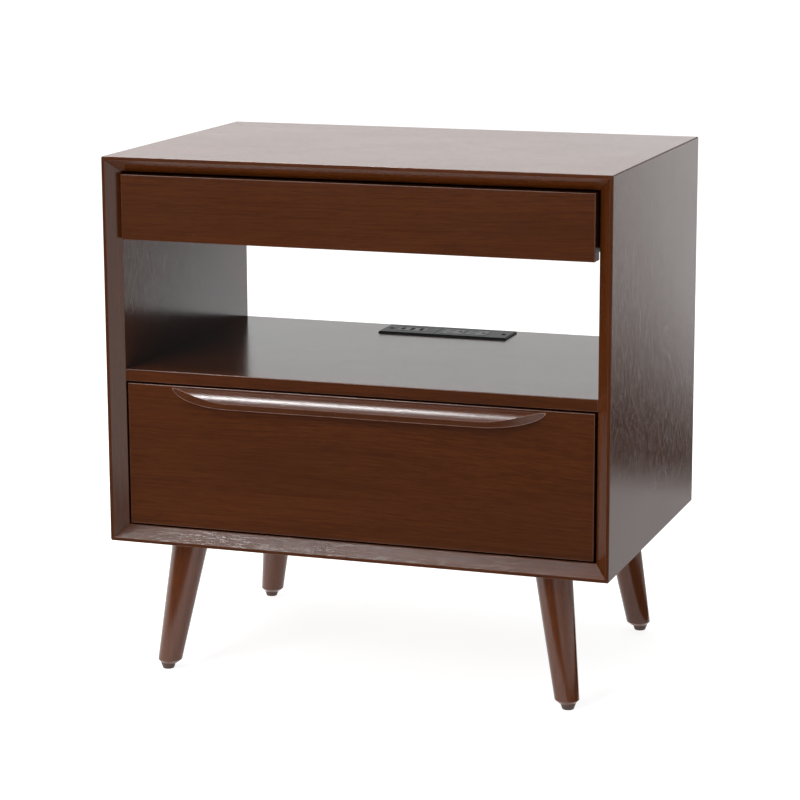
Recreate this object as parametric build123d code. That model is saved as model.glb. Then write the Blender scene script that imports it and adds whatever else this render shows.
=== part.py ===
from build123d import *
import os
from math import cos, radians, sin

# A bedside nightstand: a mitred wooden case on four splayed legs, a shallow drawer under the top,
# an open shelf with a power outlet, and a deep drawer with a long wooden pull.
# Millimetres. X runs to the right, Y from the front to the back, Z up. The origin is on the floor,
# in the middle of the whole outline, the pull included.

# Driving dimensions
case_width = 600.0
case_depth = 400.0
case_height = 450.0
leg_height = 160.0            # floor to the underside of the case
panel = 18.0                  # thickness of the case panels
lip = 4.0                     # flat rim left outside the bevelled front and back edges
ease = 0.6                    # small radius on every wooden edge
front_ease = 0.8              # on the drawer fronts and the shelf

shelf_top_height = 202.5      # above the underside of the case
shelf_thickness = 14.0
back_thickness = 9.0
rail_thickness = 12.0
rail_height = 76.0

front_thickness = 18.0
front_gap = 3.0               # beside the drawer fronts
top_front_setback = 5.5       # drawer face behind the case's front rim
top_front_low = 354.5         # heights above the underside of the case
top_front_high = 429.5
lower_front_setback = 12.5
lower_front_low = 20.0
lower_front_high = 186.5

box_depth = 340.0
box_wall = 12.0
box_bottom = 5.0
box_bottom_lift = 8.0         # under side of the drawer bottom above the box's lower edge
groove_depth = 5.0
top_box_low = 357.5
top_box_high = 412.5
lower_box_low = 26.0
lower_box_high = 156.0

slide_length = 300.0
slide_width = 12.7
slide_steel = 1.2
slide_inset = 4.0             # slide behind the back of the drawer front
top_slide_height = 35.0
lower_slide_height = 45.0
lower_slide_lift = 50.0       # middle of the lower slides above the box's lower edge
ball_race = 3.0               # height of the ball space between two slide members

pull_length = 446.0
pull_reach = 16.0             # how far it stands out of the drawer face
pull_height = 18.0
pull_land = 2.5               # flat along its top, next to the drawer
pull_slope_drop = 11.5        # from the flat down to the edge of the lip
pull_slope_start = 24.0       # degrees down, where the rounded slope leaves the flat
pull_back_height = 13.0       # height of the face glued to the drawer
pull_lip_width = 3.5
pull_hollow_width = 8.0       # groove for the fingertips under the pull
pull_drop = 2.5               # top of the pull below the top of the drawer front
pull_straight = 150.0         # half the stretch where the lip runs straight, from above
pull_front_straight = 148.0   # half the stretch where the underside runs straight, from the front

leg_top_radius = 21.5
leg_foot_radius = 13.5
leg_top_inset = (79.0, 55.0)  # leg axis at the case's underside, in from the side and the front
leg_foot_inset = (54.5, 35.0) # leg axis at the floor
leg_plate_size = 64.0
leg_plate_steel = 2.5
leg_boss_radius = 13.0
leg_seat = 9.0                # end of the leg below the case, along its axis
glide_height = 7.0
glide_top_radius = 9.0
glide_foot_radius = 6.5
bolt_radius = 4.0

outlet_length = 165.0
outlet_depth = 52.0
outlet_plate = 2.5
outlet_from_back = 52.0       # middle of the outlet in front of the case's back
housing_length = 134.0
housing_depth = 38.0
housing_drop = 27.0           # housing below the underside of the shelf
housing_wall = 2.0

# Places worked out from them
bevel = panel - lip
half_width = case_width / 2
inner_half = half_width - panel
middle_y = (pull_reach - lower_front_setback) / 2
front_y = middle_y - case_depth / 2
back_y = middle_y + case_depth / 2
bottom_z = leg_height
top_z = leg_height + case_height
inner_bottom_z = bottom_z + panel
inner_top_z = top_z - panel
shelf_top_z = bottom_z + shelf_top_height
shelf_low_z = shelf_top_z - shelf_thickness
inset_front_y = front_y + bevel
inset_back_y = back_y - bevel
front_half = inner_half - front_gap
box_half = inner_half - slide_width
box_inner_half = box_half - box_wall
outlet_y = back_y - outlet_from_back
sides = {"left": -1, "right": 1}
corners = {"front_left": (-1, -1), "front_right": (1, -1), "back_left": (-1, 1), "back_right": (1, 1)}

foot = (Align.CENTER, Align.CENTER, Align.MIN)
hang = (Align.CENTER, Align.CENTER, Align.MAX)


def block(x, y, z):
    """Box between three pairs of limits, in either order."""
    size = [abs(b - a) for a, b in (x, y, z)]
    middle = [(a + b) / 2 for a, b in (x, y, z)]
    return Pos(*middle) * Box(*size)


def rod(start, end, radius, end_radius=None):
    """Round bar, or a cone if a second radius is given, between two points."""
    axis = Vector(*end) - Vector(*start)
    if end_radius is None:
        bar = Cylinder(radius, axis.length, align=foot)
    else:
        bar = Cone(radius, end_radius, axis.length, align=foot)
    return Plane(origin=start, z_dir=axis) * bar


def eased(shape, radius=ease):
    """The shape with every edge rounded a little."""
    return fillet(shape.edges(), radius)


def save(name, *solids):
    """Write one node, a single solid or a group of separate ones."""
    shape = solids[0] if len(solids) == 1 else Compound(children=list(solids))
    export_step(shape, f"parts/{name}.step")


def screw(seat, direction, shank_radius, length, head_radius, head_height):
    """Pan-head screw with a cross recess. The head stands on the seat, the shank runs along direction."""
    head = Cylinder(head_radius, head_height, align=hang)
    head = fillet(head.edges().sort_by(Axis.Z)[0], 0.6 * head_height)
    recess_depth = 0.6 * head_height
    recess_long = 1.1 * head_radius
    recess_wide = 0.28 * head_radius
    recess = Box(recess_long, recess_wide, recess_depth, align=foot)
    recess += Box(recess_wide, recess_long, recess_depth, align=foot)
    whole = head + Cylinder(shank_radius, length, align=foot) - Pos(0, 0, -head_height) * recess
    return Plane(origin=seat, z_dir=direction) * whole


def screw_hole(seat, direction, shank_radius, length):
    """The shank of a screw, to be cut from the pieces that it holds."""
    tip = Vector(*seat) + Vector(*direction) * length
    return rod(seat, tuple(tip), shank_radius)


# The case: four mitred panels

spline_width = 12.0
spline_thickness = 3.0
spline_stop = 25.0            # the splines end short of the front and back edges
dowel_radius = 3.0
dowel_in_panel = 9.0
dowel_in_shelf = 20.0
shelf_dowel_steps = (-130.0, 0.0, 110.0)
back_dowel_margin = 40.0      # from the upper and lower edges of the back panel
rail_dowel_margin = 20.0
mitre_reach = 60.0            # how far inwards the cutting wedges of the mitres go


def case_ring():
    """The four panels in one piece, with the front and back edges bevelled inwards."""
    ring = block((-half_width, half_width), (front_y, back_y), (bottom_z, top_z))
    ring -= block((-inner_half, inner_half), (front_y - 1, back_y + 1), (inner_bottom_z, inner_top_z))
    middle = (0, front_y, (bottom_z + top_z) / 2)
    mouth = Plane(origin=middle, x_dir=(1, 0, 0), z_dir=(0, 1, 0))
    opening = mouth * Rectangle(case_width - 2 * lip, case_height - 2 * lip)
    front_bevel = extrude(opening, bevel, taper=45)
    ring -= front_bevel
    ring -= mirror(front_bevel, Plane(origin=(0, middle_y, 0), z_dir=(0, 1, 0)))
    return ring


def wedge(points):
    """Prism over the whole depth with an outline in X and Z."""
    back_plane = Plane(origin=(0, back_y + 1, 0), x_dir=(1, 0, 0), z_dir=(0, -1, 0))
    return extrude(back_plane * Polygon(*points, align=None), case_depth + 2, dir=(0, -1, 0))


def mitre_splines():
    """A strip of plywood across each mitre, running almost the whole depth."""
    strips = []
    length = case_depth - 2 * spline_stop
    for sx in (-1, 1):
        for end_z, sz in ((bottom_z, -1), (top_z, 1)):
            strip = Rot(0, 45 * sx * sz, 0) * Box(spline_width, length, spline_thickness)
            strips.append(Pos(sx * (half_width - panel / 2), middle_y, end_z - sz * panel / 2) * strip)
    return strips


def case_dowels():
    """Dowels at both ends of the shelf, of the lower back panel and of the upper back rail."""
    shelf_z = (shelf_top_z + shelf_low_z) / 2
    back_y_middle = inset_back_y - back_thickness / 2
    rail_y_middle = inset_back_y - rail_thickness / 2
    places = [(middle_y + step, shelf_z) for step in shelf_dowel_steps]
    places += [(back_y_middle, inner_bottom_z + back_dowel_margin),
               (back_y_middle, shelf_low_z - back_dowel_margin)]
    places += [(rail_y_middle, inner_top_z - rail_dowel_margin),
               (rail_y_middle, inner_top_z - rail_height + rail_dowel_margin)]
    return [rod((side * (inner_half + dowel_in_panel), y, z), (side * (inner_half - dowel_in_shelf), y, z),
                dowel_radius)
            for side in sides.values() for y, z in places]


def cut(shape, tools):
    """The shape less each of the tools."""
    for tool in tools:
        shape -= tool
    return shape


# Telescopic slides: three nested steel channels on each side of each drawer

top_slide_front_y = front_y + top_front_setback + front_thickness + slide_inset
lower_slide_front_y = front_y + lower_front_setback + front_thickness + slide_inset
top_slide_z = bottom_z + (top_box_low + top_box_high) / 2
lower_slide_z = bottom_z + lower_box_low + lower_slide_lift
channel_lip = 3.4             # edges of the outer and middle members turned back over the balls
outer_rim = 10.3              # distances from the case panel
middle_web = 3.6
inner_rim = 6.0
slide_screw_radius = 1.75
slide_head_radius = 3.4
slide_head_height = 1.5
case_screw_length = 12.0
box_screw_length = 10.0
slide_screw_places = (30.0, 150.0, 270.0)


def channel(side, web, rim, half_height, lip_height, y, z):
    """Steel channel lying along Y. web and rim are distances from the case panel, the flanges join them."""
    def x(distance):
        return side * (inner_half - distance)
    outward = 1 if rim > web else -1
    piece = block((x(web), x(web + outward * slide_steel)), y, (z - half_height, z + half_height))
    for up in (-1, 1):
        edge = z + up * half_height
        piece += block((x(web), x(rim)), y, (edge, edge - up * slide_steel))
        piece += block((x(rim - outward * slide_steel), x(rim)), y, (edge, edge - up * lip_height))
    return piece


def slide_members(side, height, y, z):
    """Outer member on the case, middle member, and inner member on the drawer."""
    half = height / 2
    step = slide_steel + ball_race
    outer = channel(side, 0, outer_rim, half, channel_lip, y, z)
    middle = channel(side, middle_web, outer_rim, half - step, channel_lip, y, z)
    inner = channel(side, slide_width, inner_rim, half - 2 * step, slide_steel, y, z)
    return outer, middle, inner


def case_screw_seat(side, y, z):
    return (side * (inner_half - slide_steel), y, z)


def box_screw_seat(side, y, z):
    return (side * (box_half + slide_steel), y, z)


def slide_case_holes(side):
    """Holes for the slide screws in one side of the case and in its outer members."""
    holes = []
    for front, z in ((top_slide_front_y, top_slide_z), (lower_slide_front_y, lower_slide_z)):
        for place in slide_screw_places:
            seat = case_screw_seat(side, front + place, z)
            holes.append(screw_hole(seat, (side, 0, 0), slide_screw_radius, case_screw_length))
    return holes


def slide_box_holes(side, front, z):
    """Holes for the slide screws in one side of a drawer and in its inner member."""
    holes = []
    for place in slide_screw_places:
        seat = box_screw_seat(side, front + place, z)
        holes.append(screw_hole(seat, (-side, 0, 0), slide_screw_radius, box_screw_length))
    return holes


def make_slides(drawer_name, height, front, z):
    """The three members of both slides of one drawer, and their screws on the drawer side."""
    y = (front, front + slide_length)
    box_screws = []
    for word, side in sides.items():
        outer, middle, inner = slide_members(side, height, y, z)
        save(f"{drawer_name}_slide_outer_{word}", cut(outer, slide_case_holes(side)))
        save(f"{drawer_name}_slide_middle_{word}", middle)
        save(f"{drawer_name}_slide_inner_{word}", cut(inner, slide_box_holes(side, front, z)))
        for place in slide_screw_places:
            seat = box_screw_seat(side, front + place, z)
            box_screws.append(screw(seat, (-side, 0, 0), slide_screw_radius, box_screw_length,
                                    slide_head_radius, slide_head_height))
    save(f"{drawer_name}_drawer_slide_screws", *box_screws)


def slide_case_screws():
    """Screws that hold the outer members to the case."""
    screws = []
    for side in sides.values():
        for front, z in ((top_slide_front_y, top_slide_z), (lower_slide_front_y, lower_slide_z)):
            for place in slide_screw_places:
                seat = case_screw_seat(side, front + place, z)
                screws.append(screw(seat, (side, 0, 0), slide_screw_radius, case_screw_length,
                                    slide_head_radius, slide_head_height))
    return screws


# Legs, their mounting plates and foot glides

plate_screw_spread = 24.0
plate_screw_radius = 2.0
plate_screw_length = 15.0
plate_head_radius = 4.0
plate_head_height = 1.8
bolt_in_leg = 32.0
bolt_stop = 1.2               # upper end of the bolt below the case, along the leg's axis
foot_chamfer = 4.0
foot_overrun = 15.0           # the blank of a leg starts this far below the floor
plate_corner = 8.0
clearing = 80.0               # size of the blocks that trim a leg and a boss level
glide_pin_radius = 1.5
glide_pin_length = 14.0


def leg_line(corner):
    """Point on the leg's axis at the case's underside, point on the floor, and the way up between them."""
    sx, sy = corner
    top_x, top_y = leg_top_inset
    foot_x, foot_y = leg_foot_inset
    top = Vector(sx * (half_width - top_x), middle_y + sy * (case_depth / 2 - top_y), leg_height)
    low = Vector(sx * (half_width - foot_x), middle_y + sy * (case_depth / 2 - foot_y), 0)
    return top, low, (top - low).normalized()


def bolt_ends(corner):
    top, low, up = leg_line(corner)
    return tuple(top - up * (leg_seat + bolt_in_leg)), tuple(top - up * bolt_stop)


def glide(corner):
    """Plastic foot under a leg, a short cone with a pin that goes up into the leg."""
    top, low, up = leg_line(corner)
    cone = Cone(glide_foot_radius, glide_top_radius, glide_height, align=foot)
    cone = fillet(cone.edges().sort_by(Axis.Z)[0], 1.0)
    pin = Pos(0, 0, glide_height) * Cylinder(glide_pin_radius, glide_pin_length, align=foot)
    return Pos(*low) * (cone + pin)


def leg(corner):
    """Tapered round leg, square to its axis at the plate and level at the foot."""
    top, low, up = leg_line(corner)
    length = (top - low).length
    growth = (leg_top_radius - leg_foot_radius) / length
    start = low - up * foot_overrun
    end = top - up * leg_seat
    foot_radius = leg_foot_radius - growth * foot_overrun
    top_radius = leg_top_radius - growth * leg_seat
    body = rod(tuple(start), tuple(end), foot_radius, top_radius)
    body -= Pos(low.X, low.Y, glide_height) * Box(clearing, clearing, clearing, align=hang)
    ends = body.edges().filter_by(GeomType.LINE, reverse=True).sort_by(Axis.Z)
    body = chamfer(ends[0], foot_chamfer)
    body = fillet(body.edges().filter_by(GeomType.CIRCLE).sort_by(Axis.Z)[-1], 1.0)
    body -= Pos(low.X, low.Y, glide_height) * Cylinder(glide_pin_radius, glide_pin_length, align=foot)
    return body - rod(*bolt_ends(corner), bolt_radius)


def plate_screw_seats(corner):
    top, low, up = leg_line(corner)
    z = leg_height - leg_plate_steel
    return [(top.X + dx * plate_screw_spread, top.Y + dy * plate_screw_spread, z)
            for dx in (-1, 1) for dy in (-1, 1)]


def leg_plate(corner):
    """Square steel plate with a slanted boss that the leg's bolt screws into."""
    top, low, up = leg_line(corner)
    plate = Pos(top.X, top.Y, leg_height) * Box(leg_plate_size, leg_plate_size, leg_plate_steel, align=hang)
    plate = fillet(plate.edges().filter_by(Axis.Z), plate_corner)
    boss = rod(tuple(top - up * leg_seat), tuple(top + up * leg_seat), leg_boss_radius)
    boss -= Pos(top.X, top.Y, leg_height - leg_plate_steel) * Box(clearing, clearing, clearing, align=foot)
    whole = plate + boss - rod(*bolt_ends(corner), bolt_radius)
    whole -= rod(*[tuple(top + up * s) for s in (-bolt_stop, leg_seat)], bolt_radius)
    return cut(whole, [screw_hole(seat, (0, 0, 1), plate_screw_radius, plate_screw_length)
                       for seat in plate_screw_seats(corner)])


def leg_plate_screws():
    return [screw(seat, (0, 0, 1), plate_screw_radius, plate_screw_length,
                  plate_head_radius, plate_head_height)
            for corner in corners.values() for seat in plate_screw_seats(corner)]


def plate_screw_holes():
    return [screw_hole(seat, (0, 0, 1), plate_screw_radius, plate_screw_length)
            for corner in corners.values() for seat in plate_screw_seats(corner)]


# Drawers

dowel_in_side = 8.0
dowel_in_end = 22.0
drawer_dowel_heights = (0.42, 0.78)   # parts of the way up the box
front_screw_places = (-200.0, -70.0, 70.0, 200.0)
front_screw_radius = 2.0
front_screw_length = 26.0
front_head_radius = 4.0
front_head_height = 2.0
pull_screw_radius = 1.75
pull_screw_length = 24.5
pull_screw_places = (-140.0, 0.0, 140.0)
pull_screw_drop = 8.5         # below the top of the pull


def drawer_dowels(box_front, low, high):
    """Two dowels at each corner of a drawer box."""
    dowels = []
    for side in sides.values():
        for y in (box_front + box_wall / 2, box_front + box_depth - box_wall / 2):
            for part_way in drawer_dowel_heights:
                z = low + part_way * (high - low)
                start = (side * (box_inner_half + dowel_in_side), y, z)
                end = (side * (box_inner_half - dowel_in_end), y, z)
                dowels.append(rod(start, end, dowel_radius))
    return dowels


def make_drawer(name, setback, front_low, front_high, box_low, box_high, slide_front, slide_z, front_holes):
    """One drawer: applied front, a box of four boards round a grooved-in bottom, and its fasteners."""
    face = front_y + setback
    box_front = face + front_thickness
    box_back = box_front + box_depth
    low = bottom_z + box_low
    high = bottom_z + box_high
    bottom_low = low + box_bottom_lift
    groove_half = box_inner_half + groove_depth
    groove_y = (box_front + box_wall - groove_depth, box_back - box_wall + groove_depth)
    bottom = block((-groove_half, groove_half), groove_y, (bottom_low, bottom_low + box_bottom))
    dowels = drawer_dowels(box_front, low, high)
    seat_y = box_front + box_wall
    screw_seats = [(x, seat_y, (low + high) / 2) for x in front_screw_places]
    front_screw_holes = [screw_hole(seat, (0, -1, 0), front_screw_radius, front_screw_length)
                         for seat in screw_seats]
    front = eased(block((-front_half, front_half), (face, box_front),
                        (bottom_z + front_low, bottom_z + front_high)), front_ease)
    save(f"{name}_drawer_front", cut(front, front_screw_holes + front_holes))
    for word, side in sides.items():
        board = eased(block((side * box_half, side * box_inner_half), (box_front, box_back), (low, high)))
        tools = [bottom] + dowels + slide_box_holes(side, slide_front, slide_z)
        save(f"{name}_drawer_{word}_side", cut(board, tools))
    ends = {"inner_front": (box_front, box_front + box_wall), "back": (box_back - box_wall, box_back)}
    for word, y in ends.items():
        board = eased(block((-box_inner_half, box_inner_half), y, (low, high)))
        holes = front_screw_holes if word == "inner_front" else []
        save(f"{name}_drawer_{word}", cut(board, [bottom] + dowels + holes))
    save(f"{name}_drawer_bottom", bottom)
    save(f"{name}_drawer_dowels", *dowels)
    save(f"{name}_drawer_front_screws", *[screw(seat, (0, -1, 0), front_screw_radius, front_screw_length,
                                                front_head_radius, front_head_height)
                                          for seat in screw_seats])


# The pull: a long lip with a rounded, sloping top, hollowed underneath for the fingertips

pull_top_z = bottom_z + lower_front_high - pull_drop
pull_face_y = front_y + lower_front_setback


def pull_section():
    """Outline in reach and height: a flat land, a rounded slope, the lip, and the hollow behind the lip."""
    hollow_start = pull_reach - pull_lip_width
    hollow_end = hollow_start - pull_hollow_width
    hollow_height = pull_height - pull_back_height
    start = radians(pull_slope_start)
    land = Line((0, 0), (pull_land, 0))
    slope = TangentArc((pull_land, 0), (pull_reach, -pull_slope_drop), tangent=(cos(start), -sin(start)))
    lip_face = Line((pull_reach, -pull_slope_drop), (pull_reach, -pull_height))
    lip_foot = Line((pull_reach, -pull_height), (hollow_start, -pull_height))
    hollow = EllipticalCenterArc((hollow_end, -pull_height), pull_hollow_width, hollow_height)
    under = Line((hollow_end, -pull_back_height), (0, -pull_back_height))
    back = Line((0, -pull_back_height), (0, 0))
    return make_face([land, slope, lip_face, lip_foot, hollow, under, back])


def pull_screw_seats():
    y = pull_face_y + front_thickness
    return [(x, y, pull_top_z - pull_screw_drop) for x in pull_screw_places]


def pull_screw_holes():
    return [screw_hole(seat, (0, -1, 0), pull_screw_radius, pull_screw_length)
            for seat in pull_screw_seats()]


def pull():
    """The section carried along X, cut to arcs at both ends as seen from above and from the front."""
    half = pull_length / 2
    section_plane = Plane(origin=(-half, pull_face_y, pull_top_z), x_dir=(0, -1, 0), z_dir=(-1, 0, 0))
    bar = extrude(section_plane * pull_section(), pull_length, dir=(1, 0, 0))
    right_arc = TangentArc((pull_straight, -pull_reach), (half, 0), tangent=(1, 0))
    left_arc = mirror(right_arc, Plane.YZ)
    plan = make_face([right_arc, Line((half, 0), (-half, 0)), left_arc,
                      Line((-pull_straight, -pull_reach), (pull_straight, -pull_reach))])
    plan_place = Pos(0, pull_face_y, pull_top_z - 2 * pull_height)
    plan_prism = extrude(plan_place * plan, 3 * pull_height, dir=(0, 0, 1))
    right_end = EllipticalCenterArc((pull_front_straight, 0), half - pull_front_straight, pull_height,
                                    start_angle=270)
    left_end = mirror(right_end, Plane.YZ)
    front = make_face([right_end, Line((half, 0), (-half, 0)), left_end,
                       Line((-pull_front_straight, -pull_height), (pull_front_straight, -pull_height))])
    front_plane = Plane(origin=(0, pull_face_y + 1, pull_top_z), x_dir=(1, 0, 0), z_dir=(0, -1, 0))
    front_prism = extrude(front_plane * front, pull_reach + 2, dir=(0, -1, 0))
    return cut(bar & plan_prism & front_prism, pull_screw_holes())


# The outlet in the shelf: face plate, housing below, charging ports and receptacles

usb_middle_x = -45.5
usb_pitch = 12.0
usb_module = (38.0, 24.0)
usb_port = (5.0, 13.0)
usb_port_depth = 9.0
usb_tongue = (1.6, 11.0, 8.0)
usb_tongue_offset = 0.9
usb_tongue_drop = 1.0
seam_x = -11.5
seam_size = (1.0, 44.0)
seam_depth = 0.6
socket_xs = {"left": 8.5, "right": 38.5}
socket_size = (27.0, 31.0)
slot_size = (8.0, 2.2)
slot_spread = 6.35
slot_offset = -4.0
ground_radius = 2.4
ground_offset = 8.5
slot_depth = 12.0
insert_depth = 14.0
insert_corner = 3.0
plate_slope = 1.6
housing_corner = 2.5
outlet_screw_x = 72.5
outlet_screw_radius = 1.6
outlet_screw_length = 12.0
outlet_head_radius = 3.0
outlet_head_height = 0.9
cord_inlet_size = (16.0, 10.0)
cord_inlet_reach = 10.0
cord_inlet_lift = 6.0         # above the underside of the housing
cord_inlet_wall = 2.0
contact_radius = 1.0
contact_spread = 3.0
contact_length = 7.5
cord_hole_size = (34.0, 24.0)
cord_hole_corner = 5.0


def outlet_top():
    return shelf_top_z + outlet_plate


def insert_block(x, size, depth):
    """Rounded module that drops through the face plate."""
    body = Pos(x, outlet_y, outlet_top()) * Box(size[0], size[1], depth, align=hang)
    return fillet(body.edges().filter_by(Axis.Z), insert_corner)


def usb_ports():
    """Charging module with three upright port mouths, each with its contact tongue."""
    body = insert_block(usb_middle_x, usb_module, insert_depth)
    for step in (-1, 0, 1):
        place = Pos(usb_middle_x + step * usb_pitch, outlet_y, outlet_top())
        body -= place * Box(usb_port[0], usb_port[1], usb_port_depth, align=hang)
        body += place * Pos(usb_tongue_offset, 0, -usb_tongue_drop) * Box(*usb_tongue, align=hang)
    return body


def receptacle(x):
    """Receptacle face with two blade slots and a round ground hole."""
    body = insert_block(x, socket_size, insert_depth)
    place = Pos(x, outlet_y, outlet_top())
    for step in (-1, 1):
        slot = Box(slot_size[0], slot_size[1], slot_depth, align=hang)
        body -= place * Pos(slot_offset, step * slot_spread, 0) * slot
    body -= place * Pos(ground_offset, 0, 0) * Cylinder(ground_radius, slot_depth, align=hang)
    return body


def outlet_screw_seats():
    return [(side * outlet_screw_x, outlet_y, outlet_top()) for side in (-1, 1)]


def outlet_screw_holes():
    return [screw_hole(seat, (0, 0, -1), outlet_screw_radius, outlet_screw_length)
            for seat in outlet_screw_seats()]


def face_plate():
    """Thin plate with sloping edges, a seam groove, and openings for the modules."""
    plate = Pos(0, outlet_y, shelf_top_z) * Box(outlet_length, outlet_depth, outlet_plate, align=foot)
    plate = fillet(plate.edges().filter_by(Axis.Z), insert_corner)
    plate = chamfer(plate.faces().sort_by(Axis.Z)[-1].edges(), plate_slope)
    tools = [insert_block(usb_middle_x, usb_module, insert_depth)]
    tools += [insert_block(x, socket_size, insert_depth) for x in socket_xs.values()]
    tools += [Pos(seam_x, outlet_y, outlet_top()) * Box(*seam_size, 2 * seam_depth)]
    return cut(plate, tools + outlet_screw_holes())


def housing_low():
    return shelf_low_z - housing_drop


def inlet_z():
    """Middle height of the power inlet."""
    return housing_low() + cord_inlet_lift + cord_inlet_size[1] / 2


def inlet_block(margin, front, back):
    """Box through the inlet, smaller than it by a margin all round, between two distances from its face."""
    wall_y = outlet_y + housing_depth / 2
    x = cord_inlet_size[0] / 2 - margin
    z = cord_inlet_size[1] / 2 - margin
    return block((-x, x), (wall_y - front, wall_y + back), (inlet_z() - z, inlet_z() + z))


def housing():
    """Box below the shelf that holds the wiring, open upwards under the plate."""
    height = shelf_top_z - housing_low()
    body = Pos(0, outlet_y, housing_low()) * Box(housing_length, housing_depth, height, align=foot)
    body = fillet(body.edges().filter_by(Axis.Z), housing_corner)
    body -= Pos(0, outlet_y, housing_low() + housing_wall) * Box(
        housing_length - 2 * housing_wall, housing_depth - 2 * housing_wall, height, align=foot)
    return body - inlet_block(0, cord_inlet_reach, 1)


def power_inlet():
    """Socket in the back of the housing where the supply lead plugs in, with two contact pins."""
    body = inlet_block(0, cord_inlet_reach, 0)
    body -= inlet_block(cord_inlet_wall, cord_inlet_reach - cord_inlet_wall, 1)
    contact_y = outlet_y + housing_depth / 2 - cord_inlet_reach + cord_inlet_wall / 2
    for side in (-1, 1):
        x = side * contact_spread
        body += rod((x, contact_y, inlet_z()), (x, contact_y + contact_length, inlet_z()), contact_radius)
    return body


# Writing the nodes

def make_case():
    ring = case_ring()
    out_x = half_width + 1
    in_x = half_width - mitre_reach
    out_z = top_z + 1
    in_z = top_z - mitre_reach
    left = [(-out_x, bottom_z - 1), (-out_x, out_z), (-in_x, in_z), (-in_x, bottom_z + mitre_reach)]
    top = [(-out_x, out_z), (out_x, out_z), (in_x, in_z), (-in_x, in_z)]
    right = [(-x, z) for x, z in reversed(left)]
    low = [(x, bottom_z + top_z - z) for x, z in reversed(top)]
    outlines = {"left_side_panel": left, "right_side_panel": right, "top_panel": top, "bottom_panel": low}
    holes = {"left_side_panel": slide_case_holes(-1) + case_dowels(),
             "right_side_panel": slide_case_holes(1) + case_dowels(),
             "top_panel": [],
             "bottom_panel": plate_screw_holes()}
    for name, points in outlines.items():
        board = eased(ring & wedge(points))
        save(name, cut(board, mitre_splines() + holes[name]))
    save("mitre_splines", *mitre_splines())
    save("case_dowels", *case_dowels())


def make_shelf():
    shelf = block((-inner_half, inner_half), (inset_front_y, inset_back_y), (shelf_low_z, shelf_top_z))
    slot_height = shelf_thickness + 2
    slot = Pos(0, outlet_y, shelf_low_z - 1) * Box(housing_length, housing_depth, slot_height, align=foot)
    slot = fillet(slot.edges().filter_by(Axis.Z), housing_corner)
    save("shelf", cut(eased(shelf, front_ease), [slot] + case_dowels() + outlet_screw_holes()))
    lower_back = block((-inner_half, inner_half), (inset_back_y - back_thickness, inset_back_y),
                       (inner_bottom_z, shelf_low_z))
    hole = Pos(0, inset_back_y, inlet_z()) * Box(cord_hole_size[0], 3 * back_thickness, cord_hole_size[1])
    hole = fillet(hole.edges().filter_by(Axis.Y), cord_hole_corner)
    save("lower_back_panel", cut(eased(lower_back), [hole] + case_dowels()))
    rail = block((-inner_half, inner_half), (inset_back_y - rail_thickness, inset_back_y),
                 (inner_top_z - rail_height, inner_top_z))
    save("upper_back_rail", cut(eased(rail), case_dowels()))


def make_outlet():
    save("outlet_face_plate", face_plate())
    save("outlet_housing", housing())
    save("outlet_charging_ports", usb_ports())
    for word, x in socket_xs.items():
        save(f"outlet_receptacle_{word}", receptacle(x))
    save("outlet_power_inlet", power_inlet())
    save("outlet_screws", *[screw(seat, (0, 0, -1), outlet_screw_radius, outlet_screw_length,
                                  outlet_head_radius, outlet_head_height)
                            for seat in outlet_screw_seats()])


def make_legs():
    for word, corner in corners.items():
        save(f"leg_{word}", leg(corner))
        save(f"foot_glide_{word}", glide(corner))
    save("leg_plates", *[leg_plate(corner) for corner in corners.values()])
    save("leg_bolts", *[rod(*bolt_ends(corner), bolt_radius) for corner in corners.values()])
    save("leg_plate_screws", *leg_plate_screws())


os.makedirs("parts", exist_ok=True)
make_case()
make_shelf()
make_legs()
make_outlet()
save("slide_case_screws", *slide_case_screws())
make_slides("top", top_slide_height, top_slide_front_y, top_slide_z)
make_slides("lower", lower_slide_height, lower_slide_front_y, lower_slide_z)
make_drawer("top", top_front_setback, top_front_low, top_front_high, top_box_low, top_box_high,
            top_slide_front_y, top_slide_z, [])
make_drawer("lower", lower_front_setback, lower_front_low, lower_front_high, lower_box_low, lower_box_high,
            lower_slide_front_y, lower_slide_z, pull_screw_holes())
save("drawer_pull", pull())
save("drawer_pull_screws", *[screw(seat, (0, -1, 0), pull_screw_radius, pull_screw_length,
                                   front_head_radius, front_head_height)
                             for seat in pull_screw_seats()])
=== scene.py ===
"""Nightstand with drawers: finishes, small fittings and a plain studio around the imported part.

Laid out as an add-on. Lengths are in metres, in the part's own frame: the origin is on the floor in the
middle of the outline, X to the right, Y from the front to the back, Z up.
"""

from math import pi, radians

import bmesh
import bpy
import numpy as np
from bpy.props import FloatProperty, FloatVectorProperty, IntProperty, PointerProperty
from mathutils import Matrix, Vector


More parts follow.
